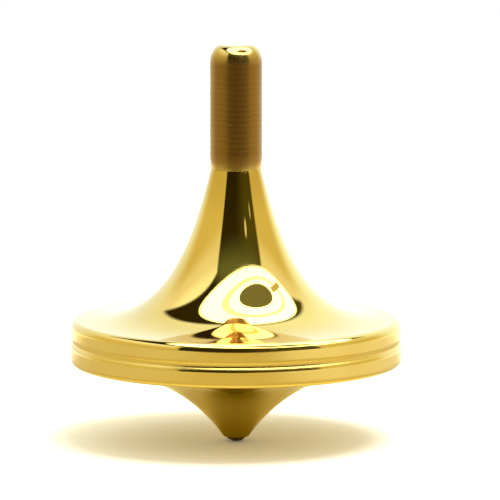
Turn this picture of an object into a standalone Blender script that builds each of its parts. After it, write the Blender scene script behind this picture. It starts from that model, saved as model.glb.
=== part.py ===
"""Finger spinning top turned in brass: a ribbed grip stem pressed into a flared flywheel, and a hard ball
peened into the flywheel's nose.

Metres, +Z up. The origin is the point of the ball that touches the table, and Z is the spin axis.
Every piece is round: its half outline is a list of (radius, height) points, turned about Z.
"""

import math

import bmesh
import bpy

MM = 0.001

# Tip ball
BALL_DIAMETER = 2.5 * MM
BALL_EXPOSED = 0.44 * MM

# Nose and underside: a curve from the lip round the ball to the rim's lower edge
LIP_WALL = 0.08 * MM
NOSE_ANGLE = math.radians(36)
NOSE_REACH = 2.6 * MM
UNDERSIDE_SLOPE = math.radians(3)
UNDERSIDE_REACH = 7.9 * MM

# Rim
RIM_DIAMETER = 28.6 * MM
RIM_BOTTOM = 6.87 * MM
RIM_HEIGHT = 3.78 * MM
RIM_TOP_ROUND = 0.65 * MM
RIM_BOTTOM_ROUND = 0.5 * MM

# V groove round the rim
GROOVE_WIDTH = 0.7 * MM
GROOVE_ANGLE = math.radians(116)
GROOVE_LIP_ROUND = 0.5 * MM
GROOVE_BOTTOM_ROUND = 0.3 * MM

# Flare: a curve from the neck under the stem to the rim's upper edge
NECK_HEIGHT = 13.15 * MM
NECK_ANGLE = math.radians(13.3)
NECK_REACH = 12.0 * MM
LAND_SLOPE = math.radians(2)
LAND_REACH = 5.1 * MM

# Stem
STEM_DIAMETER = 4.5 * MM
STEM_LENGTH = 10.72 * MM
STEM_ROUND_WIDTH = 1.0 * MM
STEM_ROUND_HEIGHT = 1.44 * MM
FOOT_HEIGHT = 1.0 * MM
FOOT_RELIEF = 0.07 * MM
RIB_PITCH = 0.46 * MM
RIB_CREST = 0.2 * MM
RIB_DEPTH = 0.06 * MM

# Press joint between stem and flywheel
NECK_WALL = 0.65 * MM
SPIGOT_LENGTH = 6.0 * MM
SPIGOT_CHAMFER = 0.3 * MM
SOCKET_SPARE = 0.3 * MM
SOCKET_CHAMFER = 0.15 * MM
DRILL_POINT = math.radians(118)

# Gap left between pieces that touch
SEAT_GAP = 0.05 * MM

# Facets
FLYWHEEL_STEPS = 48
STEM_STEPS = 32
BALL_STEPS = 24
FLARE_STEPS = 18
NOSE_STEPS = 14
ROUND_STEPS = 5
GROOVE_STEPS = 3
STEM_ROUND_STEPS = 6
SHARP_EDGE = math.radians(30)
WELD = 1e-8

# Handle length, over the radius, that makes a cubic curve follow a quarter of a circle
QUARTER_HANDLE = 0.5523

BALL_RADIUS = BALL_DIAMETER / 2
RIM_RADIUS = RIM_DIAMETER / 2
STEM_RADIUS = STEM_DIAMETER / 2
RIM_TOP = RIM_BOTTOM + RIM_HEIGHT
NECK_TOP = RIM_TOP + NECK_HEIGHT
NECK_RADIUS = STEM_RADIUS - FOOT_RELIEF
SOCKET_RADIUS = NECK_RADIUS - NECK_WALL
SPIGOT_RADIUS = SOCKET_RADIUS - SEAT_GAP
SEAT_RADIUS = BALL_RADIUS + SEAT_GAP


def arc(centre, radius, start, end, steps):
    """Points on a circle in the outline's plane. Angles are counted up from the outward direction."""
    points = []
    for step in range(steps + 1):
        angle = start + (end - start) * step / steps
        points.append((centre[0] + radius * math.cos(angle), centre[1] + radius * math.sin(angle)))
    return points


def curve(start, start_handle, end_handle, end, steps):
    """Points on the cubic curve that leaves start along its handle and reaches end along its own."""
    points = []
    for step in range(steps + 1):
        t = step / steps
        weights = ((1 - t) ** 3, 3 * t * (1 - t) ** 2, 3 * t * t * (1 - t), t**3)
        corners = (start, start_handle, end_handle, end)
        points.append(tuple(sum(w * c[axis] for w, c in zip(weights, corners)) for axis in (0, 1)))
    return points


def flare_outline():
    """From the neck down to where the rim's upper round begins."""
    start = (NECK_RADIUS, NECK_TOP)
    tilt = math.sin(LAND_SLOPE)
    lean = math.cos(LAND_SLOPE)
    end = (RIM_RADIUS - RIM_TOP_ROUND * (1 - tilt), RIM_TOP - RIM_TOP_ROUND * (1 - lean))
    start_handle = (
        start[0] + NECK_REACH * math.sin(NECK_ANGLE),
        start[1] - NECK_REACH * math.cos(NECK_ANGLE),
    )
    end_handle = (end[0] - LAND_REACH * lean, end[1] + LAND_REACH * tilt)
    return curve(start, start_handle, end_handle, end, FLARE_STEPS)


def groove_outline():
    """The V groove at the rim's mid height, with its two lips and its bottom rounded."""
    half_width = GROOVE_WIDTH / 2
    half_angle = GROOVE_ANGLE / 2
    flank = math.pi / 2 - half_angle
    middle = RIM_BOTTOM + RIM_HEIGHT / 2
    lip_radius = RIM_RADIUS - GROOVE_LIP_ROUND
    lip_rise = half_width + GROOVE_LIP_ROUND * math.tan(flank / 2)
    apex = RIM_RADIUS - half_width / math.tan(half_angle)
    bottom_radius = apex + GROOVE_BOTTOM_ROUND / math.sin(half_angle)
    return [
        *arc((lip_radius, middle + lip_rise), GROOVE_LIP_ROUND, 0, -flank, GROOVE_STEPS),
        *arc((bottom_radius, middle), GROOVE_BOTTOM_ROUND, math.pi - flank, math.pi + flank, GROOVE_STEPS),
        *arc((lip_radius, middle - lip_rise), GROOVE_LIP_ROUND, flank, 0, GROOVE_STEPS),
    ]


def rim_outline():
    """The upper round, the groove and the lower round."""
    top_centre = (RIM_RADIUS - RIM_TOP_ROUND, RIM_TOP - RIM_TOP_ROUND)
    upper = arc(top_centre, RIM_TOP_ROUND, math.pi / 2 - LAND_SLOPE, 0, ROUND_STEPS)
    bottom_centre = (RIM_RADIUS - RIM_BOTTOM_ROUND, RIM_BOTTOM + RIM_BOTTOM_ROUND)
    lower = arc(bottom_centre, RIM_BOTTOM_ROUND, 0, UNDERSIDE_SLOPE - math.pi / 2, ROUND_STEPS)
    return upper + groove_outline() + lower


def seat_mouth_radius():
    """Radius of the opening that the ball stands out of."""
    return math.sqrt(SEAT_RADIUS**2 - (BALL_RADIUS - BALL_EXPOSED) ** 2)


def nose_outline():
    """From where the rim's lower round ends, along the underside, to the lip round the ball."""
    tilt = math.sin(UNDERSIDE_SLOPE)
    lean = math.cos(UNDERSIDE_SLOPE)
    start = (
        RIM_RADIUS - RIM_BOTTOM_ROUND * (1 - tilt),
        RIM_BOTTOM + RIM_BOTTOM_ROUND * (1 - lean),
    )
    end = (seat_mouth_radius() + LIP_WALL, BALL_EXPOSED)
    start_handle = (start[0] - UNDERSIDE_REACH * lean, start[1] - UNDERSIDE_REACH * tilt)
    end_handle = (
        end[0] + NOSE_REACH * math.sin(NOSE_ANGLE),
        end[1] + NOSE_REACH * math.cos(NOSE_ANGLE),
    )
    return curve(start, start_handle, end_handle, end, NOSE_STEPS)


def seat_outline():
    """The peened lip below the ball's middle, the bore above it and the drill's point."""
    centre = (0, BALL_RADIUS)
    lip = math.asin((BALL_EXPOSED - BALL_RADIUS) / SEAT_RADIUS)
    half_point = DRILL_POINT / 2
    apex = BALL_RADIUS + SEAT_RADIUS / math.sin(half_point)
    bore_end = apex - SEAT_RADIUS / math.tan(half_point)
    return arc(centre, SEAT_RADIUS, lip, 0, ROUND_STEPS) + [(SEAT_RADIUS, bore_end), (0, apex)]


def socket_outline():
    """The blind hole for the stem's spigot, from the drill's point up to the neck's face."""
    floor = NECK_TOP - SPIGOT_LENGTH - SOCKET_SPARE
    apex = floor - SOCKET_RADIUS / math.tan(DRILL_POINT / 2)
    return [
        (0, apex),
        (SOCKET_RADIUS, floor),
        (SOCKET_RADIUS, NECK_TOP - SOCKET_CHAMFER),
        (SOCKET_RADIUS + SOCKET_CHAMFER, NECK_TOP),
    ]


def rib_outline(top, bottom):
    """Shallow V grooves with flat crests between them, as many as fit from top to bottom."""
    groove = RIB_PITCH - RIB_CREST
    points = []
    for rib in range(int((top - bottom) / RIB_PITCH)):
        crest_end = top - rib * RIB_PITCH - RIB_CREST
        points.append((STEM_RADIUS, crest_end))
        points.append((STEM_RADIUS - RIB_DEPTH, crest_end - groove / 2))
        points.append((STEM_RADIUS, crest_end - groove))
    return points


def stem_outline():
    """From the round top end down the ribbed grip to the spigot's end, counted from the neck's face."""
    flat = STEM_RADIUS - STEM_ROUND_WIDTH
    shoulder = STEM_LENGTH - STEM_ROUND_HEIGHT
    top_round = curve(
        (flat, STEM_LENGTH),
        (flat + QUARTER_HANDLE * STEM_ROUND_WIDTH, STEM_LENGTH),
        (STEM_RADIUS, shoulder + QUARTER_HANDLE * STEM_ROUND_HEIGHT),
        (STEM_RADIUS, shoulder),
        STEM_ROUND_STEPS,
    )
    return [
        (0, STEM_LENGTH),
        *top_round,
        *rib_outline(shoulder, FOOT_HEIGHT),
        (NECK_RADIUS, SEAT_GAP),
        (SPIGOT_RADIUS, SEAT_GAP),
        (SPIGOT_RADIUS, SPIGOT_CHAMFER - SPIGOT_LENGTH),
        (SPIGOT_RADIUS - SPIGOT_CHAMFER, -SPIGOT_LENGTH),
        (0, -SPIGOT_LENGTH),
    ]


def finish(bm, name, material, height):
    """Turns the mesh into a named object whose origin stands at this height on the axis."""
    bmesh.ops.recalc_face_normals(bm, faces=bm.faces)
    mesh = bpy.data.meshes.new(name)
    bm.to_mesh(mesh)
    bm.free()
    mesh.shade_smooth()
    mesh.set_sharp_from_angle(angle=SHARP_EDGE)
    mesh.materials.append(material)
    piece = bpy.data.objects.new(name, mesh)
    piece.location.z = height
    bpy.context.scene.collection.objects.link(piece)
    return piece


def turned(name, outline, steps, material, height=0.0):
    """A lathe-turned piece: the outline is spun once round Z."""
    bm = bmesh.new()
    corners = [bm.verts.new((radius, 0, z)) for radius, z in outline]
    edges = [bm.edges.new(pair) for pair in zip(corners, corners[1:])]
    bmesh.ops.spin(
        bm, geom=corners + edges, axis=(0, 0, 1), angle=2 * math.pi, steps=steps, use_merge=True
    )
    bmesh.ops.remove_doubles(bm, verts=bm.verts, dist=WELD)
    return finish(bm, name, material, height)


def ball(name, radius, steps, material):
    """A ball that stands on the table."""
    bm = bmesh.new()
    bmesh.ops.create_uvsphere(bm, u_segments=steps, v_segments=steps // 2, radius=radius)
    return finish(bm, name, material, radius)


def finish_material(name, colour, roughness, metallic):
    material = bpy.data.materials.new(name)
    material.use_nodes = True
    shader = material.node_tree.nodes["Principled BSDF"]
    shader.inputs["Base Color"].default_value = (*colour, 1)
    shader.inputs["Roughness"].default_value = roughness
    shader.inputs["Metallic"].default_value = metallic
    return material


def clear_scene():
    for old in list(bpy.data.objects):
        bpy.data.objects.remove(old, do_unlink=True)


def main():
    clear_scene()
    polished_brass = finish_material("polished_brass", (0.88, 0.62, 0.22), 0.08, 1.0)
    satin_brass = finish_material("satin_brass", (0.62, 0.42, 0.15), 0.38, 1.0)
    dark_ceramic = finish_material("dark_ceramic", (0.05, 0.03, 0.02), 0.15, 0.0)

    axis = bpy.data.objects.new("spin_axis", None)
    bpy.context.scene.collection.objects.link(axis)

    flywheel_outline = (
        socket_outline() + flare_outline() + rim_outline()[1:-1] + nose_outline() + seat_outline()
    )
    pieces = [
        turned("flywheel", flywheel_outline, FLYWHEEL_STEPS, polished_brass),
        turned("stem", stem_outline(), STEM_STEPS, satin_brass, NECK_TOP),
        ball("tip_ball", BALL_RADIUS, BALL_STEPS, dark_ceramic),
    ]
    for piece in pieces:
        piece.parent = axis


main()
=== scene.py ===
"""Looks of a brass finger spinning top: smooth turned pieces, their finishes, and a light tent.

Metres, +Z up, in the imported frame: the tip ball meets the table at the origin, and Z is the spin axis.
"""

import math

import bmesh
import bpy
from bpy.props import FloatProperty, FloatVectorProperty, IntProperty, PointerProperty
from bpy.types import NodeSocket, Operator, Panel, PropertyGroup
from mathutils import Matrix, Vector


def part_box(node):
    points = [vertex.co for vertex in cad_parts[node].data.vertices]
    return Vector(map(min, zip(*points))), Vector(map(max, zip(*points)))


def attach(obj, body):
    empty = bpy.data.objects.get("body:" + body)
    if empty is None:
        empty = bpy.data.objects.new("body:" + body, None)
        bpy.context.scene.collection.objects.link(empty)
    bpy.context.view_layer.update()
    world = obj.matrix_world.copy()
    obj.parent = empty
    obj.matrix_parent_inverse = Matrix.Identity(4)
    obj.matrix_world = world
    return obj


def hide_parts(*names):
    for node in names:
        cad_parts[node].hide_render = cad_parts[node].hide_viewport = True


bl_info = {
    "name": "Spinning Top",
    "version": (1, 0, 0),
    "blender": (4, 5, 0),
    "location": "View3D > Sidebar > Spinning Top",
    "description": "Models a brass finger spinning top and the light tent it stands in",
    "category": "Object",
}

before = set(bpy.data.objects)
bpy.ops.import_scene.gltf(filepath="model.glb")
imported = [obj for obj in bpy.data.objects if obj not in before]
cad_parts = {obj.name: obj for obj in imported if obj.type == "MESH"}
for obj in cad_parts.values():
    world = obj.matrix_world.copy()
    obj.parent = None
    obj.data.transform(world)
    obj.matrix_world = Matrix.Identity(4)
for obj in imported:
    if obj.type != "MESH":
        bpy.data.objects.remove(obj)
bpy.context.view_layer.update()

MM = 0.001
BODY = "root"
WHITE = (1, 1, 1)
FULL_TURN = 2 * math.pi
SAME_PLACE = 1e-6
SMOOTH_BELOW = math.radians(32)
# Handle length, over the radius, that makes a cubic curve follow a quarter of a circle
QUARTER_HANDLE = 0.5523

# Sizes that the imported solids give
STEM_LOW, STEM_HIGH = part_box("stem")
WHEEL_LOW, WHEEL_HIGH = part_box("flywheel")
BALL_LOW, BALL_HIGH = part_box("tip_ball")

# How finely the outlines are drawn: steps along curves, and segments of rounds
END_ROUND_STEPS = 24
RIB_SEGMENTS = 3
FLARE_STEPS = 96
NOSE_STEPS = 72
SEAT_LIP_STEPS = 12
BALL_STEPS = 48
NECK_SEGMENTS = 4
RIM_TOP_SEGMENTS = 18
RIM_BOTTOM_SEGMENTS = 16
GROOVE_LIP_SEGMENTS = 10
GROOVE_BOTTOM_SEGMENTS = 8
# The flywheel's straight sides above this length are divided, each by so many cuts
LONGEST_STRAIGHT = 0.5 * MM
STRAIGHT_CUTS = 7
# Steps of the full turn that each outline is spun through
STEM_TURN_STEPS = 160
FLYWHEEL_TURN_STEPS = 192
BALL_TURN_STEPS = 96

# Marks per metre in each finish: the lathe's lines, and smudges
BRASS_MARKS = (9000.0, 130.0)
GRIP_MARKS = (22000.0, 260.0)
CERAMIC_MARKS = (6000.0, 3000.0)
# Depth of the lathe's lines in each finish
BRASS_LINES = 0.0004 * MM
GRIP_LINES = 0.0015 * MM
CERAMIC_LINES = 0.0006 * MM
# Part of the noise's range over which a smudge comes up
SMUDGE_RANGE = (0.48, 0.72)

# Share of the tarnish that a smudge brings, and how far down from the neck's face fingers bring it
SMUDGE_TARNISH = 0.35
GRIPPED_LENGTH = 5 * MM
# Where the groove's rougher finish starts and is full: out from the axis, in shares of the rim's diameter,
# and up or down from the rim's mid height
GROOVE_REACH = (0.45, 0.47)
GROOVE_SPAN = (0.50 * MM, 0.30 * MM)

# Where the stem's colour and finish start to change and have changed: above and below the foot's upper
# edge, for the painted reflection of the flare at the foot, and down from the stem's end, for its polish.
# The joint's painted reflection and polish start below the foot's upper edge too.
FOOT_BLEND = (0.5 * MM, 0.6 * MM)
END_BLEND = (1.7 * MM, 0.3 * MM)
JOINT_START = 0.25 * MM
# Share of the end's polish that the joint has
JOINT_POLISH = 0.75
# The grip reflects its metal's colour at full brightness, and this share of it where the lathe's dark lines
# and the painted shade between the ribs are deepest
LINE_AND_HOLLOW_SHADE_SHARE = 0.35
# Part of the noise's range over which a line comes up to full brightness, and the brightness of a dark
# line, or of a hollow between ribs, whose darkness is painted shade
LINE_RANGE = (0.3, 0.7)
LINE_AND_HOLLOW_SHADE_LEVEL = 0.85
# How much rougher a smudge leaves the grip
SMUDGE_ROUGHENS = 0.06
# Turn of the grip's brushed reflections, in full turns
BRUSHING_TURN = 0.25

# Sockets of a Mix node that is set to colours
MIX_FACTOR, MIX_A, MIX_B, MIX_RESULT = 0, 6, 7, 2


def length(name, description, default):
    return FloatProperty(
        name=name,
        description=description,
        default=default,
        min=0,
        precision=5,
        subtype="DISTANCE",
        unit="LENGTH",
    )


def angle(name, description, degrees):
    return FloatProperty(name=name, description=description, default=math.radians(degrees), subtype="ANGLE")


def share(name, description, default):
    return FloatProperty(
        name=name, description=description, default=default, min=0, max=1, subtype="FACTOR"
    )


def colour(name, description, default):
    return FloatVectorProperty(
        name=name, description=description, default=default, size=3, min=0, soft_max=1, subtype="COLOR"
    )


class StemSettings(PropertyGroup):
    """Sizes and finish of the grip stem"""

    top: length("Top", "Height of the round end above the table", STEM_HIGH.z)
    diameter: length("Diameter", "Thickness of the grip over its ribs", STEM_HIGH.x - STEM_LOW.x)
    round_width: length("Round Width", "Width of the round on the edge of the upper end", 1.0 * MM)
    round_height: length("Round Height", "Height of that round", 1.44 * MM)
    rib_pitch: length("Rib Pitch", "Distance from one rib to the next", 0.46 * MM)
    rib_crest: length("Rib Crest", "Width of the flat on a rib", 0.2 * MM)
    rib_depth: length("Rib Depth", "Depth of the grooves between ribs", 0.01 * MM)
    rib_round: length("Rib Round", "Length over which a rib's corners are eased", 0.06 * MM)
    foot_height: length("Foot Height", "Height of the foot that tapers to the neck", 1.0 * MM)
    foot_relief: length("Foot Relief", "How far the foot draws in to the neck's size", 0.07 * MM)
    spigot_end: length("Spigot End", "Height of the end of the spigot inside the flywheel", STEM_LOW.z)
    spigot_diameter: length("Spigot Diameter", "Thickness of the spigot", 2.96 * MM)
    spigot_chamfer: length("Spigot Chamfer", "Chamfer on the end of the spigot", 0.3 * MM)
    seat_gap: length("Seat Gap", "Gap between the foot and the neck's face", 0.01 * MM)
    metal: colour("Metal", "Reflection of the satin grip", (0.268, 0.136, 0.023))
    # The foot's and the joint's brighter colours are painted reflection of the flare below
    foot_painted_reflection: colour("Foot Metal", "Reflection of the brighter foot", (0.33, 0.175, 0.037))
    joint_painted_reflection: colour("Joint Metal", "Reflection at the joint with the neck", (0.46, 0.29, 0.06))
    end_metal: colour("End Metal", "Reflection of the polished end", (0.64, 0.43, 0.12))
    roughness: share("Roughness", "Roughness of the satin grip", 0.40)
    end_roughness: share("End Roughness", "Roughness of the polished end", 0.07)
    brushing: share("Brushing", "How far the turned grip draws reflections out along the axis", 0.45)


class FlywheelSettings(PropertyGroup):
    """Sizes and finish of the flared flywheel"""

    neck_top: length("Neck Top", "Height of the face that the stem stands on", WHEEL_HIGH.z)
    neck_diameter: length("Neck Diameter", "Thickness of the neck under the stem", 4.36 * MM)
    neck_angle: angle("Neck Angle", "Angle between the neck's side and the axis", 13.3)
    neck_reach: length("Neck Reach", "How far the flare keeps the neck's angle", 12.0 * MM)
    neck_round: length("Neck Round", "Round on the neck's upper edge", 0.006 * MM)
    land_slope: angle("Land Slope", "Fall of the rim's upper face towards its edge", 2)
    land_reach: length("Land Reach", "How far the flare keeps the land's slope", 5.1 * MM)
    rim_diameter: length("Rim Diameter", "Width of the flywheel", WHEEL_HIGH.x - WHEEL_LOW.x)
    rim_bottom: length("Rim Bottom", "Height of the rim's lower edge", 6.79 * MM)
    rim_height: length("Rim Height", "Height of the rim", 3.86 * MM)
    rim_top_round: length("Rim Top Round", "Round on the rim's upper edge", 0.65 * MM)
    rim_bottom_round: length("Rim Bottom Round", "Round on the rim's lower edge", 0.5 * MM)
    groove_width: length("Groove Width", "Width of the rim's V groove, without its rounds", 0.7 * MM)
    groove_angle: angle("Groove Angle", "Angle between the groove's two flanks", 110)
    groove_lip: length("Groove Lip", "Round on the groove's two edges", 0.5 * MM)
    groove_bottom: length("Groove Bottom", "Round at the bottom of the groove", 0.3 * MM)
    underside_slope: angle("Underside Slope", "Fall of the underside towards the nose", 3)
    underside_reach: length("Underside Reach", "How far the underside keeps its slope", 7.9 * MM)
    nose_angle: angle("Nose Angle", "Angle between the nose's side and the axis at the lip", 36)
    nose_reach: length("Nose Reach", "How far the nose keeps that angle", 2.6 * MM)
    lip_height: length("Lip Height", "Height of the lip round the ball", WHEEL_LOW.z)
    lip_wall: length("Lip Wall", "Width of the lip round the ball", 0.08 * MM)
    seat_gap: length("Seat Gap", "Gap round the ball", 0.05 * MM)
    socket_diameter: length("Socket Diameter", "Width of the hole for the spigot", 3.06 * MM)
    socket_spare: length("Socket Spare", "Depth of the hole past the spigot's end", 0.3 * MM)
    socket_chamfer: length("Socket Chamfer", "Chamfer on the mouth of the hole", 0.15 * MM)
    drill_point: angle("Drill Point", "Full angle of the drill's point", 118)
    metal: colour("Metal", "Reflection of the polished brass", (0.74, 0.51, 0.13))
    tarnish: colour("Tarnish", "Reflection where handling has dulled the brass", (0.62, 0.40, 0.09))
    roughness: share("Roughness", "Roughness of the polish", 0.035)
    smudge_roughness: share("Smudge Roughness", "Roughness where handling has dulled the polish", 0.085)
    groove_roughness: share("Groove Roughness", "Roughness of the groove, which no polish reaches", 0.26)


class TipBallSettings(PropertyGroup):
    """Sizes and finish of the ball that the top spins on"""

    diameter: length("Diameter", "Width of the ball", BALL_HIGH.z - BALL_LOW.z)
    worn_flat: length("Worn Flat", "Width of the spot worn by the table", 0.16 * MM)
    ceramic: colour("Ceramic", "Colour of the ball", (0.05, 0.016, 0.006))
    grains: colour("Grains", "Colour of the paler grains in the ball", (0.10, 0.045, 0.022))
    roughness: share("Roughness", "Roughness of the polished ball", 0.14)
    worn_roughness: share("Worn Roughness", "Roughness where the ball turns on the table", 0.45)
    worn_height: length("Worn Height", "How far up the ball that roughness reaches", 0.15 * MM)
    specular: share("Specular", "Strength of the ball's reflections", 0.22)


class StageSettings(PropertyGroup):
    """Camera, floor and lights"""

    camera_distance: length("Camera Distance", "Distance of the camera from the axis", 0.80)
    camera_height: length("Camera Height", "Height of the camera above the floor", 0.134)
    aim_height: length("Aim Height", "Height that the camera looks at", 16.67 * MM)
    aim_side: length("Aim Side", "How far to the right of the axis the camera looks", 1.2 * MM)
    frame_width: length("Frame Width", "Width that the picture takes in at the axis", 43.15 * MM)
    floor_radius: length("Floor Radius", "Size of the floor", 0.30)
    floor: colour("Floor", "Colour of the floor", (0.80, 0.80, 0.80))
    floor_roughness: share("Floor Roughness", "Roughness of the floor", 0.95)
    floor_specular: share("Floor Specular", "Strength of the floor's reflections", 0.1)
    # As the brass mirrors it, the floor is painted: shade ahead, at the sides and round the tip, near black
    # far ahead, a paler warm tint under the rim
    floor_ahead_painted_shade: colour("Floor Ahead", "Floor in front, as the brass shows it", (0.36, 0.345, 0.22))
    floor_left_painted_shade: colour("Floor Left", "Floor on the left, as the brass shows it", (0.40, 0.41, 0.38))
    floor_right_painted_shade: colour("Floor Right", "Floor on the right, as the brass shows it", (0.49, 0.52, 0.56))
    floor_end: colour("Floor End", "Past the paper's edge, as the brass shows it", (0.02, 0.018, 0.004))
    floor_near: colour("Floor Near", "Floor under the rim, as the brass shows it", (0.81, 0.82, 0.53))
    floor_tip_painted_shade: colour("Floor Tip", "Shade round the tip, as the brass shows it", (0.37, 0.34, 0.029))
    fill: colour("Fill", "Light that the tent throws on the floor", (1.64, 1.53, 1.1))
    lamp_height: length("Lamp Height", "Height of the ring lamp above the floor", 0.40)
    lamp_glow: FloatProperty(
        name="Lamp Glow", description="Brightness of the lamp's tubes", default=6.5, min=0
    )
    lamp_plate: colour("Lamp Plate", "Light of the plate round the tubes", (1.9, 2.3, 2.4))
    lamp_middle: colour("Lamp Middle", "Light of the lamp's dim middle", (0.27, 0.29, 0.19))
    lamp_socket: colour("Lamp Socket", "Light of the tubes' socket", (0.85, 0.80, 0.45))
    key_height: length("Key Height", "Height of the lamp that lights the floor", 1.0)
    key_size: length("Key Size", "Width of that lamp", 0.54)
    key_power: FloatProperty(
        name="Key Power", description="Power of that lamp", default=9, min=0, unit="POWER"
    )
    cloth_low: colour("Cloth Low", "Light of the tent's cloth near the floor", (0.94, 0.87, 0.45))
    cloth: colour("Cloth", "Light of the cloth half way up", (1.2, 1.25, 1.2))
    cloth_high: colour("Cloth High", "Light of the cloth near the top", (1.5, 1.7, 1.9))
    cloth_left: colour("Cloth Left", "Light of the cloth at the back, on the left", (1.15, 1.3, 1.35))
    cloth_right: colour("Cloth Right", "Light of the cloth at the back, on the right", (1.32, 1.58, 1.7))
    room: colour("Room", "Light of the dark room on the left of the camera", (0.036, 0.030, 0.004))
    room_right: colour("Room Right", "Light of the room on the right of the camera", (0.11, 0.105, 0.022))
    room_above: colour("Room Above", "Light of the room above the camera", (0.18, 0.22, 0.11))
    facets: IntProperty(name="Facets", description="Sides of the round stage pieces", default=96, min=12)


# Drawing and turning of outlines


def deselect_all():
    """Leaves edit mode and drops the selection, so that the next operator acts on new geometry alone."""
    if bpy.context.mode != "OBJECT":
        bpy.ops.object.mode_set(mode="OBJECT")
    bpy.ops.object.select_all(action="DESELECT")


def arc(centre, radius, start, end, steps):
    """Points on a circle in the outline's plane. Angles are counted up from the outward direction."""
    angles = [start + (end - start) * step / steps for step in range(steps + 1)]
    return [(centre[0] + radius * math.cos(a), centre[1] + radius * math.sin(a)) for a in angles]


def cubic(start, start_handle, end_handle, end, steps):
    """Points on the curve that leaves start along its handle and reaches end along its own."""
    points = []
    for step in range(steps + 1):
        t = step / steps
        weights = ((1 - t) ** 3, 3 * t * (1 - t) ** 2, 3 * t * t * (1 - t), t**3)
        corners = (start, start_handle, end_handle, end)
        points.append(tuple(sum(w * c[axis] for w, c in zip(weights, corners)) for axis in (0, 1)))
    return points


def draw_outline(name, points):
    """A new mesh: one vertex, put on the first (radius, height) point and extruded through the rest."""
    deselect_all()
    bpy.ops.mesh.primitive_plane_add()
    piece = bpy.context.object
    piece.name = piece.data.name = name
    bpy.ops.object.mode_set(mode="EDIT")
    bpy.ops.mesh.merge(type="CENTER")
    radius, height = points[0]
    bpy.ops.transform.translate(value=(radius, 0, height))
    for start, end in zip(points, points[1:]):
        step = (end[0] - start[0], 0, end[1] - start[1])
        bpy.ops.mesh.extrude_vertices_move(TRANSFORM_OT_translate={"value": step})
    return piece


def select_at(piece, places):
    """Selects the outline's vertices at these (radius, height) places, and returns their angles."""
    mesh = bmesh.from_edit_mesh(piece.data)
    wanted = [Vector((radius, 0, height)) for radius, height in places]
    angles = []
    for vertex in mesh.verts:
        vertex.select = any((vertex.co - place).length < SAME_PLACE for place in wanted)
        if vertex.select:
            before, after = (edge.other_vert(vertex).co - vertex.co for edge in vertex.link_edges)
            angles.append(before.angle(after))
    mesh.select_flush(True)
    bmesh.update_edit_mesh(piece.data)
    if len(angles) != len(places):
        raise RuntimeError(f"{piece.name}: {len(angles)} of {len(places)} corners found in the outline")
    return angles


def round_corner(piece, corner, radius, segments):
    """Bevels one corner of the outline to an arc of this radius."""
    (corner_angle,) = select_at(piece, [corner])
    tangent = radius / math.tan(corner_angle / 2)
    bpy.ops.mesh.bevel(offset=tangent, segments=segments, affect="VERTICES", clamp_overlap=False)


def ease_corners(piece, corners, offset, segments):
    """Bevels like corners of the outline by the same length along their sides."""
    select_at(piece, corners)
    bpy.ops.mesh.bevel(offset=offset, segments=segments, affect="VERTICES", clamp_overlap=False)


def divide_straights(piece, longest, cuts):
    """Divides the outline's long straight sides, so that the shading of a round stays at the round."""
    mesh = bmesh.from_edit_mesh(piece.data)
    for edge in mesh.edges:
        edge.select = edge.calc_length() > longest
    bmesh.update_edit_mesh(piece.data)
    bpy.ops.mesh.subdivide(number_cuts=cuts)


def turn(piece, steps):
    """Spins the outline once round Z into a closed, smooth piece."""
    bpy.ops.mesh.select_all(action="SELECT")
    bpy.ops.mesh.spin(steps=steps, angle=FULL_TURN, use_auto_merge=True, center=(0, 0, 0), axis=(0, 0, 1))
    bpy.ops.mesh.select_all(action="SELECT")
    bpy.ops.mesh.remove_doubles(threshold=SAME_PLACE)
    bpy.ops.mesh.normals_make_consistent(inside=False)
    bpy.ops.object.mode_set(mode="OBJECT")
    bpy.ops.object.shade_smooth_by_angle(angle=SMOOTH_BELOW)


def hand_over(piece, material, node):
    """Gives the piece its finish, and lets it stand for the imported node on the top's one body."""
    piece.data.materials.append(material)
    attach(piece, BODY)
    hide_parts(node)


# Shader nodes


def add_node(tree, kind, inputs=None, **settings):
    """A node with its settings, and with its inputs set to values or linked to sockets."""
    node = tree.nodes.new(kind)
    for name, value in settings.items():
        setattr(node, name, value)
    for name, value in (inputs or {}).items():
        if isinstance(value, NodeSocket):
            tree.links.new(value, node.inputs[name])
        else:
            node.inputs[name].default_value = value
    return node


def math_node(tree, operation, first, second=0.0):
    return add_node(tree, "ShaderNodeMath", {0: first, 1: second}, operation=operation).outputs[0]


def vector_measure(tree, operation, *vectors):
    """A number worked out from vectors, such as a length or a dot product."""
    inputs = dict(enumerate(vectors))
    return add_node(tree, "ShaderNodeVectorMath", inputs, operation=operation).outputs["Value"]


def mapped(tree, value, low, high, to_low=0.0, to_high=1.0):
    """The value as it goes from low to high, eased from to_low to to_high."""
    inputs = {"Value": value, "From Min": low, "From Max": high, "To Min": to_low, "To Max": to_high}
    return add_node(tree, "ShaderNodeMapRange", inputs, interpolation_type="SMOOTHSTEP").outputs["Result"]


def mixed(tree, factor, first, second):
    inputs = {MIX_FACTOR: factor, MIX_A: first, MIX_B: second}
    return add_node(tree, "ShaderNodeMix", inputs, data_type="RGBA").outputs[MIX_RESULT]


def opaque(rgb):
    return (*rgb, 1.0)


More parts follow.
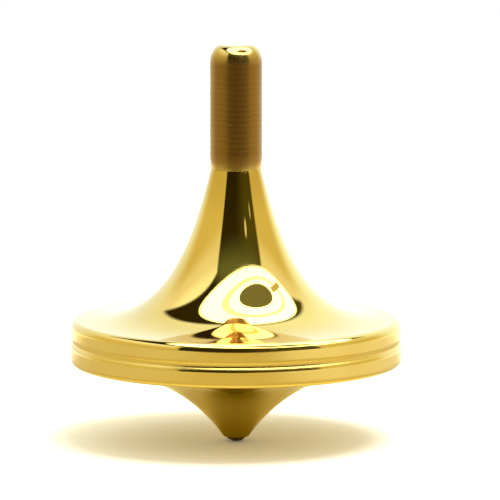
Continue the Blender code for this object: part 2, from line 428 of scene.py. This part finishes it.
def turning_marks():
    """The shared node group of what a lathe and handling leave: lines round Z and soft smudges."""
    name = "Turning marks"
    if name in bpy.data.node_groups:
        return bpy.data.node_groups[name]
    tree = bpy.data.node_groups.new(name, "ShaderNodeTree")
    sockets = tree.interface
    sockets.new_socket("Position", in_out="INPUT", socket_type="NodeSocketVector")
    sockets.new_socket("Lines per Metre", in_out="INPUT", socket_type="NodeSocketFloat")
    sockets.new_socket("Smudges per Metre", in_out="INPUT", socket_type="NodeSocketFloat")
    for output in ("Radius", "Height", "Lines", "Smudge"):
        sockets.new_socket(output, in_out="OUTPUT", socket_type="NodeSocketFloat")

    given = add_node(tree, "NodeGroupInput").outputs
    across = add_node(
        tree, "ShaderNodeVectorMath", {0: given["Position"], 1: (1, 1, 0)}, operation="MULTIPLY"
    ).outputs["Vector"]
    radius = vector_measure(tree, "LENGTH", across)
    height = add_node(tree, "ShaderNodeSeparateXYZ", {"Vector": given["Position"]}).outputs["Z"]

    along = add_node(tree, "ShaderNodeCombineXYZ", {"X": radius, "Y": height}).outputs["Vector"]
    line_inputs = {
        "Vector": along,
        "Scale": given["Lines per Metre"],
        "Detail": 2.0,
        "Roughness": 0.7,
    }
    lines = add_node(tree, "ShaderNodeTexNoise", line_inputs, noise_dimensions="2D").outputs["Fac"]
    cloud_inputs = {
        "Vector": given["Position"],
        "Scale": given["Smudges per Metre"],
        "Detail": 4.0,
        "Distortion": 0.6,
    }
    cloud = add_node(tree, "ShaderNodeTexNoise", cloud_inputs).outputs["Fac"]
    smudge = mapped(tree, cloud, *SMUDGE_RANGE)
    results = {"Radius": radius, "Height": height, "Lines": lines, "Smudge": smudge}
    add_node(tree, "NodeGroupOutput", results)
    return tree


def new_material(name):
    """A material with its node tree and shader, and the place on the piece that patterns go by."""
    material = bpy.data.materials.new(name)
    material.use_nodes = True
    tree = material.node_tree
    place = add_node(tree, "ShaderNodeTexCoord").outputs["Object"]
    return material, tree, tree.nodes["Principled BSDF"], place


def marks_at(tree, place, lines, smudges):
    inputs = {"Position": place, "Lines per Metre": lines, "Smudges per Metre": smudges}
    return add_node(tree, "ShaderNodeGroup", inputs, node_tree=turning_marks()).outputs


def bumped(tree, shader, height, distance):
    bump = add_node(tree, "ShaderNodeBump", {"Height": height, "Strength": 1.0, "Distance": distance})
    tree.links.new(bump.outputs["Normal"], shader.inputs["Normal"])


def polished_brass(wheel):
    """Mirror-polished brass with faint turning lines, tarnished at the neck and rougher in the groove."""
    material, tree, shader, place = new_material("polished_brass")
    marks = marks_at(tree, place, *BRASS_MARKS)
    smudged = math_node(tree, "MULTIPLY", marks["Smudge"], SMUDGE_TARNISH)
    gripped = mapped(tree, marks["Height"], wheel.neck_top - GRIPPED_LENGTH, wheel.neck_top)
    handled = math_node(tree, "MAXIMUM", smudged, gripped)
    metal = mixed(tree, handled, opaque(wheel.metal), opaque(wheel.tarnish))
    tree.links.new(metal, shader.inputs["Base Color"])

    dulled = mapped(tree, marks["Smudge"], 0.0, 1.0, wheel.roughness, wheel.smudge_roughness)
    middle = wheel.rim_bottom + wheel.rim_height / 2
    off_middle = math_node(tree, "ABSOLUTE", math_node(tree, "SUBTRACT", marks["Height"], middle))
    at_height = mapped(tree, off_middle, *GROOVE_SPAN)
    near_rim = mapped(tree, marks["Radius"], *(part * wheel.rim_diameter for part in GROOVE_REACH))
    in_groove = math_node(tree, "MULTIPLY", near_rim, at_height)
    unpolished = math_node(tree, "MULTIPLY", in_groove, wheel.groove_roughness)
    tree.links.new(math_node(tree, "MAXIMUM", dulled, unpolished), shader.inputs["Roughness"])
    shader.inputs["Metallic"].default_value = 1.0
    bumped(tree, shader, marks["Lines"], BRASS_LINES)
    return material


def ribbed_brass(stem, foot_top):
    """Satin brass: painted shade between the ribs, painted reflection of the flare at the foot, polished
    round end.
    """
    material, tree, shader, place = new_material("ribbed_brass")
    marks = marks_at(tree, place, *GRIP_MARKS)
    height = marks["Height"]
    radius = stem.diameter / 2
    crest = mapped(tree, marks["Radius"], radius - stem.rib_depth, radius)
    foot = mapped(tree, height, foot_top + FOOT_BLEND[0], foot_top - FOOT_BLEND[1])
    joint = mapped(tree, height, foot_top - JOINT_START, foot_top - stem.foot_height)
    polished = mapped(tree, height, *(stem.top - drop for drop in END_BLEND))

    # Dark lathe lines, and painted shade in the hollows between the ribs, where the crest mask falls to 0
    streak = mapped(tree, marks["Lines"], *LINE_RANGE, LINE_AND_HOLLOW_SHADE_LEVEL, 1.0)
    line_and_hollow_shading = math_node(tree, "MULTIPLY", streak, mapped(tree, crest, 0.0, 1.0, LINE_AND_HOLLOW_SHADE_LEVEL, 1.0))
    dark = tuple(LINE_AND_HOLLOW_SHADE_SHARE * part for part in stem.metal)
    satin = mixed(tree, line_and_hollow_shading, opaque(dark), opaque(stem.metal))
    # Foot and joint: brighter colours that are painted reflection of the flare below
    grip = mixed(tree, foot, satin, opaque(stem.foot_painted_reflection))
    grip = mixed(tree, joint, grip, opaque(stem.joint_painted_reflection))
    metal = mixed(tree, polished, grip, opaque(stem.end_metal))
    tree.links.new(metal, shader.inputs["Base Color"])

    rough = mapped(tree, marks["Smudge"], 0.0, 1.0, stem.roughness, stem.roughness + SMUDGE_ROUGHENS)
    excess = math_node(tree, "SUBTRACT", rough, stem.end_roughness)
    smooth = math_node(tree, "MAXIMUM", polished, math_node(tree, "MULTIPLY", joint, JOINT_POLISH))
    kept = math_node(tree, "MULTIPLY", excess, math_node(tree, "SUBTRACT", 1.0, smooth))
    tree.links.new(math_node(tree, "ADD", kept, stem.end_roughness), shader.inputs["Roughness"])
    shader.inputs["Metallic"].default_value = 1.0
    shader.inputs["Anisotropic"].default_value = stem.brushing
    shader.inputs["Anisotropic Rotation"].default_value = BRUSHING_TURN
    tangent = add_node(tree, "ShaderNodeTangent", direction_type="RADIAL", axis="Z").outputs["Tangent"]
    tree.links.new(tangent, shader.inputs["Tangent"])
    bumped(tree, shader, marks["Lines"], GRIP_LINES)
    return material


def dark_ceramic(ball):
    """Dark polished ceramic with fine paler grains, duller where it turns on the table."""
    material, tree, shader, place = new_material("dark_ceramic")
    marks = marks_at(tree, place, *CERAMIC_MARKS)
    body = mixed(tree, marks["Smudge"], opaque(ball.ceramic), opaque(ball.grains))
    tree.links.new(body, shader.inputs["Base Color"])
    worn = mapped(tree, marks["Height"], 0.0, ball.worn_height, ball.worn_roughness, ball.roughness)
    tree.links.new(worn, shader.inputs["Roughness"])
    shader.inputs["Metallic"].default_value = 0.0
    shader.inputs["Specular IOR Level"].default_value = ball.specular
    bumped(tree, shader, marks["Lines"], CERAMIC_LINES)
    return material


# Pieces


class SPINNINGTOP_OT_stem(Operator):
    """Model the ribbed grip stem with its round end, its foot and the spigot inside the flywheel"""

    bl_idname = "spinning_top.stem"
    bl_label = "Ribbed Stem"
    bl_options = {"REGISTER", "UNDO"}

    def execute(self, context):
        sizes = context.scene.spinning_top_stem
        wheel = context.scene.spinning_top_flywheel
        radius = sizes.diameter / 2
        flat = radius - sizes.round_width
        shoulder = sizes.top - sizes.round_height
        end_round = cubic(
            (flat, sizes.top),
            (flat + QUARTER_HANDLE * sizes.round_width, sizes.top),
            (radius, shoulder + QUARTER_HANDLE * sizes.round_height),
            (radius, shoulder),
            END_ROUND_STEPS,
        )
        foot_top = wheel.neck_top + sizes.foot_height
        foot = wheel.neck_top + sizes.seat_gap
        spigot = sizes.spigot_diameter / 2

        groove = sizes.rib_pitch - sizes.rib_crest
        ribs = int((shoulder - foot_top) / sizes.rib_pitch)
        rib_points = []
        for rib in range(ribs):
            crest_end = shoulder - rib * sizes.rib_pitch - sizes.rib_crest
            rib_points.append((radius, crest_end))
            rib_points.append((radius - sizes.rib_depth, crest_end - groove / 2))
            rib_points.append((radius, crest_end - groove))

        outline = [
            (0, sizes.top),
            *end_round,
            *rib_points,
            (radius, foot_top),
            (radius - sizes.foot_relief, foot),
            (spigot, foot),
            (spigot, sizes.spigot_end + sizes.spigot_chamfer),
            (spigot - sizes.spigot_chamfer, sizes.spigot_end),
            (0, sizes.spigot_end),
        ]
        piece = draw_outline("ribbed_stem", outline)
        ease_corners(piece, rib_points, sizes.rib_round, RIB_SEGMENTS)
        turn(piece, STEM_TURN_STEPS)
        hand_over(piece, ribbed_brass(sizes, foot_top), "stem")
        return {"FINISHED"}


class SPINNINGTOP_OT_flywheel(Operator):
    """Model the polished flywheel: neck, flare, grooved rim, nose, and the hidden socket and ball seat"""

    bl_idname = "spinning_top.flywheel"
    bl_label = "Polished Flywheel"
    bl_options = {"REGISTER", "UNDO"}

    def execute(self, context):
        sizes = context.scene.spinning_top_flywheel
        stem = context.scene.spinning_top_stem
        ball = context.scene.spinning_top_ball
        radius = sizes.rim_diameter / 2
        neck_edge = (sizes.neck_diameter / 2, sizes.neck_top)

        top_corner, flare = self.flare(sizes, radius, neck_edge)
        groove = self.groove(sizes, radius)
        bottom_corner, nose = self.nose(sizes, ball, radius)
        outline = [
            *self.socket(sizes, stem),
            *flare,
            top_corner,
            *groove,
            bottom_corner,
            *nose,
            *self.seat(sizes, ball),
        ]
        piece = draw_outline("polished_flywheel", outline)
        round_corner(piece, top_corner, sizes.rim_top_round, RIM_TOP_SEGMENTS)
        round_corner(piece, bottom_corner, sizes.rim_bottom_round, RIM_BOTTOM_SEGMENTS)
        round_corner(piece, neck_edge, sizes.neck_round, NECK_SEGMENTS)
        upper_lip, bottom, lower_lip = groove
        round_corner(piece, upper_lip, sizes.groove_lip, GROOVE_LIP_SEGMENTS)
        round_corner(piece, lower_lip, sizes.groove_lip, GROOVE_LIP_SEGMENTS)
        round_corner(piece, bottom, sizes.groove_bottom, GROOVE_BOTTOM_SEGMENTS)
        divide_straights(piece, LONGEST_STRAIGHT, STRAIGHT_CUTS)
        turn(piece, FLYWHEEL_TURN_STEPS)
        hand_over(piece, polished_brass(sizes), "flywheel")
        return {"FINISHED"}

    @staticmethod
    def socket(sizes, stem):
        """The blind hole for the spigot, from the drill's point up to the neck's face."""
        hole = sizes.socket_diameter / 2
        floor = stem.spigot_end - sizes.socket_spare
        return [
            (0, floor - hole / math.tan(sizes.drill_point / 2)),
            (hole, floor),
            (hole, sizes.neck_top - sizes.socket_chamfer),
            (hole + sizes.socket_chamfer, sizes.neck_top),
        ]

    @staticmethod
    def flare(sizes, radius, neck_edge):
        """The rim's upper corner, and the curve from the neck to where that corner's round begins."""
        tilt, lean = math.sin(sizes.land_slope), math.cos(sizes.land_slope)
        inset = sizes.rim_top_round * (1 - tilt)
        rim_top = sizes.rim_bottom + sizes.rim_height
        end = (radius - inset, rim_top - sizes.rim_top_round * (1 - lean))
        neck_handle = (
            neck_edge[0] + sizes.neck_reach * math.sin(sizes.neck_angle),
            neck_edge[1] - sizes.neck_reach * math.cos(sizes.neck_angle),
        )
        land_handle = (end[0] - sizes.land_reach * lean, end[1] + sizes.land_reach * tilt)
        corner = (radius, end[1] - inset * math.tan(sizes.land_slope))
        return corner, cubic(neck_edge, neck_handle, land_handle, end, FLARE_STEPS)

    @staticmethod
    def groove(sizes, radius):
        """Corners of the V groove at the rim's mid height: upper lip, bottom and lower lip."""
        half_width = sizes.groove_width / 2
        depth = half_width / math.tan(sizes.groove_angle / 2)
        middle = sizes.rim_bottom + sizes.rim_height / 2
        return [(radius, middle + half_width), (radius - depth, middle), (radius, middle - half_width)]

    @staticmethod
    def nose(sizes, ball, radius):
        """The rim's lower corner, and the curve from where its round ends to the lip round the ball."""
        tilt, lean = math.sin(sizes.underside_slope), math.cos(sizes.underside_slope)
        inset = sizes.rim_bottom_round * (1 - tilt)
        start = (radius - inset, sizes.rim_bottom + sizes.rim_bottom_round * (1 - lean))
        seat = ball.diameter / 2 + sizes.seat_gap
        mouth = math.sqrt(seat**2 - (ball.diameter / 2 - sizes.lip_height) ** 2)
        end = (mouth + sizes.lip_wall, sizes.lip_height)
        rim_handle = (start[0] - sizes.underside_reach * lean, start[1] - sizes.underside_reach * tilt)
        lip_handle = (
            end[0] + sizes.nose_reach * math.sin(sizes.nose_angle),
            end[1] + sizes.nose_reach * math.cos(sizes.nose_angle),
        )
        corner = (radius, start[1] + inset * math.tan(sizes.underside_slope))
        return corner, cubic(start, rim_handle, lip_handle, end, NOSE_STEPS)

    @staticmethod
    def seat(sizes, ball):
        """The peened lip under the ball's middle, the bore above it and the drill's point."""
        middle = ball.diameter / 2
        seat = middle + sizes.seat_gap
        half_point = sizes.drill_point / 2
        apex = middle + seat / math.sin(half_point)
        lip_start = math.asin((sizes.lip_height - middle) / seat)
        lip = arc((0, middle), seat, lip_start, 0, SEAT_LIP_STEPS)
        return [*lip, (seat, apex - seat / math.tan(half_point)), (0, apex)]


class SPINNINGTOP_OT_tip_ball(Operator):
    """Model the hard ball in the nose, with the small spot that the table has worn"""

    bl_idname = "spinning_top.tip_ball"
    bl_label = "Tip Ball"
    bl_options = {"REGISTER", "UNDO"}

    def execute(self, context):
        sizes = context.scene.spinning_top_ball
        radius = sizes.diameter / 2
        worn = math.asin(sizes.worn_flat / 2 / radius)
        side = arc((0, radius), radius, math.pi / 2, worn - math.pi / 2, BALL_STEPS)
        piece = draw_outline("tip_ball_turned", [*side, (0, side[-1][1])])
        turn(piece, BALL_TURN_STEPS)
        hand_over(piece, dark_ceramic(sizes), "tip_ball")
        return {"FINISHED"}


# Stage


def glowing(name, tint, strength=1.0):
    """A material that only gives light."""
    material = bpy.data.materials.new(name)
    material.use_nodes = True
    tree = material.node_tree
    tree.nodes.clear()
    glow = add_node(tree, "ShaderNodeEmission", {"Color": opaque(tint), "Strength": strength})
    add_node(tree, "ShaderNodeOutputMaterial", {"Surface": glow.outputs["Emission"]})
    return material


class SPINNINGTOP_OT_stage(Operator):
    """Set up the floor, the lamps, the light tent and dark room that the brass mirrors, and the camera"""

    bl_idname = "spinning_top.stage"
    bl_label = "Light Tent and Camera"
    bl_options = {"REGISTER", "UNDO"}

    # Materials of the lamp's rings, by their slots
    TUBE, PLATE, MIDDLE = range(3)
    # Rings of the lamp, outermost first, in lamp heights and before the lamp is turned about the axis: the
    # middle's place in X and Y, the half widths both ways, and the material that fills the ring.
    LAMP_RINGS = (
        ((0.269, -0.225), (0.865, 0.751), PLATE),
        ((0.269, -0.225), (0.827, 0.713), TUBE),
        ((0.292, -0.270), (0.583, 0.484), PLATE),
        ((0.309, -0.283), (0.501, 0.408), TUBE),
        ((0.279, -0.349), (0.341, 0.267), MIDDLE),
    )
    LAMP_TURN = math.radians(20.8)
    # Where the lamp's socket starts and ends in X and Y, and its width, in lamp heights
    LAMP_SOCKET = ((0.756, -0.098), (1.06, 0.082))
    SOCKET_WIDTH = 0.13
    # How far the socket hangs below the tubes
    SOCKET_DROP = 1 * MM
    # The key light's place in X and Y, in heights of that light
    KEY_PLACE = (0.21, -0.19)
    # Places on the floor where each painted shade or tint that the brass shows starts and is full: along X,
    # along
    # Y, and out from the tip
    LEFT_X, RIGHT_X = (-15 * MM, -60 * MM), (10 * MM, 60 * MM)
    BEHIND_Y, END_Y = (30 * MM, 60 * MM), (-79 * MM, -88 * MM)
    NEAR_RADIUS, TIP_RADIUS = (24 * MM, 11 * MM), (4.5 * MM, 1.5 * MM)
    # Parts of a direction, in X, Y or Z, between which one tint of the cloth gives way to the next
    CLOTH_LOW_Z, CLOTH_HIGH_Z = (0.40, 0.62), (0.62, 0.78)
    CLOTH_BACK_Y, CLOTH_BACK_X = (0.35, 0.8), (-0.4, 0.4)
    # The same for the room
    ROOM_RIGHT_X = (-0.1, 0.6)
    ROOM_AHEAD_Y, ROOM_ABOVE_Z = (-0.3, -0.6), (0.5, 0.75)
    # Normals of pairs of planes through the origin that bound the tent's opening on the left, on the right
    # and at the back, and how soft those edges are. A direction lies in the opening if it is on the
    # normal's side of at least one plane of each pair.
    OPENING = (
        (Vector((1, -0.831, 0.135)), Vector((1, 0, 0.677)), 0.03),
        (Vector((-1, 0, 0.934)), Vector((-0.562, -1, 0.022)), 0.04),
        (Vector((-0.657, -1, 0.585)), Vector((0.264, -1, 0.658)), 0.05),
    )
    # Small lamps deep in the room: the direction of each, the angle that its glow reaches, and its light
    ROOM_LAMPS = (
        (Vector((0.414, -0.766, 0.493)), math.radians(3.4), (1.0, 0.97, 0.80)),
        (Vector((0.661, -0.636, 0.398)), math.radians(2.1), (0.85, 0.85, 0.80)),
    )

    def execute(self, context):
        stage = context.scene.spinning_top_stage
        self.floor(stage)
        self.lamp(stage)
        self.lamp_socket(stage)
        self.key(stage)
        self.surroundings(context.scene, stage)
        self.camera(context.scene, stage)
        return {"FINISHED"}

    def floor(self, stage):
        """Pale matt paper, see-through from below; as the brass mirrors it, it has painted shade and light.
        """
        deselect_all()
        bpy.ops.mesh.primitive_circle_add(
            vertices=stage.facets, radius=stage.floor_radius, fill_type="NGON"
        )
        floor = bpy.context.object
        floor.name = "floor"
        material, tree, shader, place = new_material("pale_paper")
        side, depth, _ = add_node(tree, "ShaderNodeSeparateXYZ", {"Vector": place}).outputs
        away = vector_measure(tree, "LENGTH", place)
        # Painted shade and light on the floor, seen only in the brass's reflections
        painted_shade_patches = (
            (side, self.LEFT_X, stage.floor_left_painted_shade),
            (side, self.RIGHT_X, stage.floor_right_painted_shade),
            (depth, self.BEHIND_Y, stage.floor),
            (depth, self.END_Y, stage.floor_end),
            (away, self.NEAR_RADIUS, stage.floor_near),
            (away, self.TIP_RADIUS, stage.floor_tip_painted_shade),
        )
        mirrored = opaque(stage.floor_ahead_painted_shade)
        for measure, span, tint in painted_shade_patches:
            mirrored = mixed(tree, mapped(tree, measure, *span), mirrored, opaque(tint))
        glossy = add_node(tree, "ShaderNodeLightPath").outputs["Is Glossy Ray"]
        paper = mixed(tree, glossy, opaque(stage.floor), mirrored)
        tree.links.new(paper, shader.inputs["Base Color"])
        shader.inputs["Roughness"].default_value = stage.floor_roughness
        shader.inputs["Specular IOR Level"].default_value = stage.floor_specular
        under = add_node(tree, "ShaderNodeNewGeometry").outputs["Backfacing"]
        clear = add_node(tree, "ShaderNodeBsdfTransparent").outputs["BSDF"]
        both = add_node(tree, "ShaderNodeMixShader", {0: under, 1: shader.outputs["BSDF"], 2: clear})
        tree.links.new(both.outputs["Shader"], tree.nodes["Material Output"].inputs["Surface"])
        floor.data.materials.append(material)

    def lamp(self, stage):
        """The ring lamp that the brass mirrors: two bright tubes on a plate, round a dim middle."""
        deselect_all()
        height = stage.lamp_height
        bpy.ops.mesh.primitive_circle_add(
            vertices=stage.facets, radius=height, fill_type="NGON", location=(0, 0, height)
        )
        lamp = bpy.context.object
        lamp.name = "ring_lamp"
        bpy.ops.object.transform_apply(location=True)
        lamp.data.materials.append(glowing("lamp_tube", WHITE, stage.lamp_glow))
        lamp.data.materials.append(glowing("lamp_plate", stage.lamp_plate))
        lamp.data.materials.append(glowing("lamp_middle", stage.lamp_middle))
        bpy.ops.object.mode_set(mode="EDIT")
        middle, widths = Vector((0, 0)), (1, 1)
        for number, (place, size, material) in enumerate(self.LAMP_RINGS):
            if number > 0:
                bpy.ops.mesh.inset(thickness=0)
            growth = (size[0] / widths[0], size[1] / widths[1], 1)
            bpy.ops.transform.resize(value=growth, center_override=(*(middle * height), height))
            bpy.ops.transform.translate(value=(*((Vector(place) - middle) * height), 0))
            lamp.active_material_index = material
            bpy.ops.object.material_slot_assign()
            middle, widths = Vector(place), size
        bpy.ops.mesh.select_all(action="SELECT")
        bpy.ops.transform.rotate(value=-self.LAMP_TURN, orient_axis="Z", center_override=(0, 0, height))
        bpy.ops.object.mode_set(mode="OBJECT")
        self.show_in_brass_only(lamp)

    def lamp_socket(self, stage):
        """The small dim socket that breaks the lamp's tubes."""
        height = stage.lamp_height
        start, end = (Vector((*place, 1)) * height for place in self.LAMP_SOCKET)
        along = end - start
        place = (start + end) / 2 - Vector((0, 0, self.SOCKET_DROP))
        deselect_all()
        bpy.ops.mesh.primitive_plane_add(size=1, location=place)
        socket = bpy.context.object
        socket.name = "lamp_socket"
        bpy.ops.transform.resize(value=(along.length, self.SOCKET_WIDTH * height, 1))
        bpy.ops.transform.rotate(
            value=-math.atan2(along.y, along.x), orient_axis="Z", center_override=socket.location
        )
        socket.data.materials.append(glowing("lamp_socket", stage.lamp_socket))
        self.show_in_brass_only(socket)

    @staticmethod
    def show_in_brass_only(light):
        """Leaves a glowing mesh to be mirrored, with no light on the floor and no place in the picture."""
        light.visible_camera = False
        light.visible_diffuse = False
        light.visible_shadow = False

    def key(self, stage):
        """The light that whitens the floor and draws the shadow. The brass does not mirror it."""
        place = Vector((*self.KEY_PLACE, 1)) * stage.key_height
        turned = place.to_track_quat("Z", "Y").to_euler()
        deselect_all()
        bpy.ops.object.light_add(type="AREA", location=place, rotation=turned)
        key = bpy.context.object
        key.name = "key_light"
        key.data.shape = "DISK"
        key.data.size = stage.key_size
        key.data.energy = stage.key_power
        key.visible_camera = False
        key.visible_glossy = False

    def surroundings(self, scene, stage):
        """The lit tent and, through its opening, the dark room. The camera itself sees plain white."""
        world = bpy.data.worlds.new("light_tent")
        world.use_nodes = True
        world.cycles.sampling_method = "NONE"
        tree = world.node_tree
        tree.nodes.clear()
        way = add_node(tree, "ShaderNodeTexCoord").outputs["Generated"]
        cloth = self.cloth(tree, way, stage)
        room = self.room(tree, way, stage)
        mirrored = mixed(tree, self.opening(tree, way), cloth, room)

        ray = add_node(tree, "ShaderNodeLightPath").outputs
        lighting = mixed(tree, ray["Is Diffuse Ray"], mirrored, opaque(stage.fill))
        tint = mixed(tree, ray["Is Camera Ray"], lighting, opaque(WHITE))
        light = add_node(tree, "ShaderNodeBackground", {"Color": tint}).outputs["Background"]
        add_node(tree, "ShaderNodeOutputWorld", {"Surface": light})
        scene.world = world
        scene.view_settings.view_transform = "Standard"

    def cloth(self, tree, way, stage):
        """Light of the cloth: warm near the floor, whiter further up, with its own tints at the back."""
        side, depth, rise = add_node(tree, "ShaderNodeSeparateXYZ", {"Vector": way}).outputs
        to_middle = mapped(tree, rise, *self.CLOTH_LOW_Z)
        low = mixed(tree, to_middle, opaque(stage.cloth_low), opaque(stage.cloth))
        high = mixed(tree, mapped(tree, rise, *self.CLOTH_HIGH_Z), low, opaque(stage.cloth_high))
        to_right = mapped(tree, side, *self.CLOTH_BACK_X)
        back = mixed(tree, to_right, opaque(stage.cloth_left), opaque(stage.cloth_right))
        return mixed(tree, mapped(tree, depth, *self.CLOTH_BACK_Y), high, back)

    def room(self, tree, way, stage):
        """Light of the dark room: paler on the right and above the camera, with small lamps deep in it."""
        side, depth, rise = add_node(tree, "ShaderNodeSeparateXYZ", {"Vector": way}).outputs
        to_right = mapped(tree, side, *self.ROOM_RIGHT_X)
        room = mixed(tree, to_right, opaque(stage.room), opaque(stage.room_right))
        ahead = mapped(tree, depth, *self.ROOM_AHEAD_Y)
        above = math_node(tree, "MULTIPLY", ahead, mapped(tree, rise, *self.ROOM_ABOVE_Z))
        room = mixed(tree, above, room, opaque(stage.room_above))
        for towards, spread, glow in self.ROOM_LAMPS:
            facing = vector_measure(tree, "DOT_PRODUCT", way, towards.normalized())
            lit = mapped(tree, facing, math.cos(spread), math.cos(spread / 2))
            room = mixed(tree, lit, room, opaque(glow))
        return room

    def opening(self, tree, way):
        """A mask that is 1 where a direction passes through the tent's opening."""
        opening = 1.0
        for *pair, softness in self.OPENING:
            inside = []
            for plane in pair:
                past = vector_measure(tree, "DOT_PRODUCT", way, plane.normalized())
                inside.append(mapped(tree, past, -softness, softness))
            opening = math_node(tree, "MULTIPLY", opening, math_node(tree, "MAXIMUM", *inside))
        return opening

    @staticmethod
    def camera(scene, stage):
        """A long lens at the photograph's height, aimed a little to the right of the axis."""
        eye = Vector((stage.aim_side, -stage.camera_distance, stage.camera_height))
        aim = Vector((stage.aim_side, 0, stage.aim_height))
        gaze = aim - eye
        deselect_all()
        bpy.ops.object.camera_add(location=eye, rotation=gaze.to_track_quat("-Z", "Y").to_euler())
        camera = bpy.context.object
        camera.name = "camera"
        camera.data.lens = camera.data.sensor_width * gaze.length / stage.frame_width
        scene.camera = camera


class SPINNINGTOP_PT_panel(Panel):
    """The spinning top's pieces, with their sizes and finishes"""

    bl_idname = "SPINNINGTOP_PT_panel"
    bl_label = "Spinning Top"
    bl_space_type = "VIEW_3D"
    bl_region_type = "UI"
    bl_category = "Spinning Top"

    def draw(self, context):
        for operator, group in SECTIONS:
            box = self.layout.box()
            box.operator(operator.bl_idname)
            settings = getattr(context.scene, group)
            for name in settings.bl_rna.properties.keys():
                if name not in PropertyGroup.bl_rna.properties:
                    box.prop(settings, name)


SETTINGS = {
    "spinning_top_stem": StemSettings,
    "spinning_top_flywheel": FlywheelSettings,
    "spinning_top_ball": TipBallSettings,
    "spinning_top_stage": StageSettings,
}
SECTIONS = (
    (SPINNINGTOP_OT_stem, "spinning_top_stem"),
    (SPINNINGTOP_OT_flywheel, "spinning_top_flywheel"),
    (SPINNINGTOP_OT_tip_ball, "spinning_top_ball"),
    (SPINNINGTOP_OT_stage, "spinning_top_stage"),
)
CLASSES = (*SETTINGS.values(), *(operator for operator, _ in SECTIONS), SPINNINGTOP_PT_panel)


def register():
    for item in CLASSES:
        bpy.utils.register_class(item)
    for name, settings in SETTINGS.items():
        setattr(bpy.types.Scene, name, PointerProperty(type=settings))


def unregister():
    for name in SETTINGS:
        delattr(bpy.types.Scene, name)
    for item in reversed(CLASSES):
        bpy.utils.unregister_class(item)


def main():
    register()
    bpy.ops.spinning_top.stem()
    bpy.ops.spinning_top.flywheel()
    bpy.ops.spinning_top.tip_ball()
    bpy.ops.spinning_top.stage()


if __name__ == "__main__":
    main()
